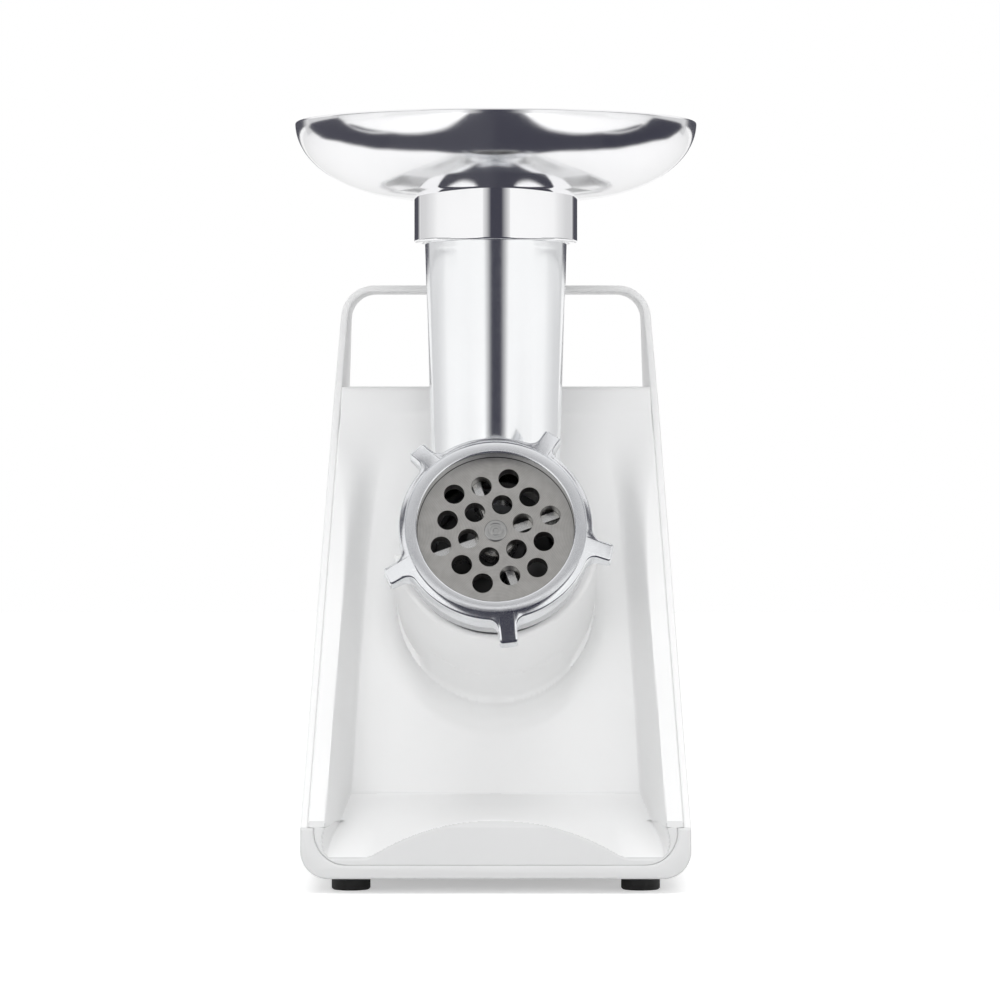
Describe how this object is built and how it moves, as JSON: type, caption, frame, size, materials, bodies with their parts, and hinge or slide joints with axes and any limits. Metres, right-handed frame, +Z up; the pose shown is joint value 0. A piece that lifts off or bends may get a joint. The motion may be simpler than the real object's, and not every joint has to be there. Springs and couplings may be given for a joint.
{
  "type": "electric meat grinder",
  "caption": "Tall white housing with a carry hoop and a front niche, an inclined grinding head with ring nut, hole plate and feed tube, and a round metal tray.",
  "frame": {"origin": "on the table plane under the feet, at the centre of the whole object's width and depth", "axes": "+X to the right seen from the front, the outlet faces -Y, +Z up"},
  "size_m": [0.1548, 0.248, 0.293],
  "materials": {
    "white_housing": "fine satin moulded",
    "white_base": "fine satin moulded",
    "grey_plastic": "fine moulded grain",
    "black_plastic": "fine moulded grain",
    "black_rubber": "matte",
    "screw_steel": "turned",
    "socket_metal": "cast and turned",
    "gearbox_metal": "die cast",
    "bush_bronze": "sintered",
    "motor_iron": "laminated",
    "motor_bracket": "pressed",
    "copper_winding": "enamelled wire",
    "gear_nylon": "moulded",
    "auger_metal": "cast and tumbled",
    "knife_steel": "ground",
    "head_metal": "fine satin polished",
    "plate_steel": "ground, satin",
    "nut_metal": "bright cast",
    "tray_steel": "polished, lightly brushed"
  },
  "bodies": {
    "root": {"front_housing": "white_housing", "handle_frame": "white_housing", "rear_cover": "white_housing", "base_shell": "white_base", "bottom_cover": "grey_plastic", "cover_screws": "screw_steel", "feet": "black_rubber", "head_socket": "socket_metal", "gearbox_case": "gearbox_metal", "gearbox_cover": "gearbox_metal", "output_bush": "bush_bronze", "gearbox_screws": "screw_steel", "intermediate_pin": "screw_steel", "motor_stator": "motor_iron", "field_coils": "copper_winding", "motor_front_bracket": "motor_bracket", "motor_rear_bracket": "motor_bracket", "motor_bearings": "bush_bronze", "brush_holders": "bush_bronze", "lock_guide": "grey_plastic", "lock_spring": "screw_steel", "switch_body": "black_plastic", "cord_inlet": "black_rubber"},
    "drive": {"output_gear": "gear_nylon", "output_shaft": "screw_steel", "auger_coupling": "gear_nylon", "auger_washer": "gear_nylon", "auger": "auger_metal", "cutter_knife": "knife_steel"},
    "intermediate": {"intermediate_gear": "gear_nylon"},
    "motor": {"motor_shaft": "screw_steel", "motor_pinion": "screw_steel", "armature": "motor_iron", "commutator": "copper_winding", "motor_fan": "black_plastic"},
    "head": {"head_casting": "head_metal", "hole_plate": "plate_steel"},
    "nut": {"ring_nut": "nut_metal"},
    "tray": {"hopper_tray": "tray_steel"},
    "lock": {"lock_button": "grey_plastic"},
    "switch": {"power_switch": "black_plastic"}
  },
  "joints": [
    {"name": "drive_spin", "type": "hinge", "parent": "root", "child": "drive", "pos_m": [0, -0.0186, 0.1027], "axis": [0, -0.9336, 0.3584], "continuous": true},
    {"name": "intermediate_spin", "type": "hinge", "parent": "root", "child": "intermediate", "pos_m": [0, -0.03408, 0.06237], "axis": [0, -0.9336, 0.3584], "continuous": true},
    {"name": "motor_spin", "type": "hinge", "parent": "root", "child": "motor", "pos_m": [0, -0.02577, 0.08403], "axis": [0, -0.9336, 0.3584], "continuous": true},
    {"name": "head_turn", "type": "hinge", "parent": "root", "child": "head", "pos_m": [0, -0.0186, 0.1027], "axis": [0, -0.9336, 0.3584], "range_deg": [0, 35]},
    {"name": "nut_turn", "type": "hinge", "parent": "head", "child": "nut", "pos_m": [0, -0.10262, 0.13495], "axis": [0, -0.9336, 0.3584], "range_deg": [0, 540]},
    {"name": "tray_lift", "type": "slide", "parent": "head", "child": "tray", "axis": [0, 0, 1], "range_m": [0, 0.06]},
    {"name": "lock_press", "type": "slide", "parent": "root", "child": "lock", "axis": [0, 0, -1], "range_m": [0, 0.003], "stiffness_N_per_m": 600, "springref_m": -0.003, "deforming": ["lock_spring"]},
    {"name": "switch_rock", "type": "hinge", "parent": "root", "child": "switch", "pos_m": [0, 0.09298, 0.14908], "axis": [1, 0, 0], "range_deg": [0, 16]}
  ],
  "couplings": [
    {"joint": "intermediate_spin", "follows": "drive_spin", "ratio": -5},
    {"joint": "motor_spin", "follows": "drive_spin", "ratio": 24}
  ]
}
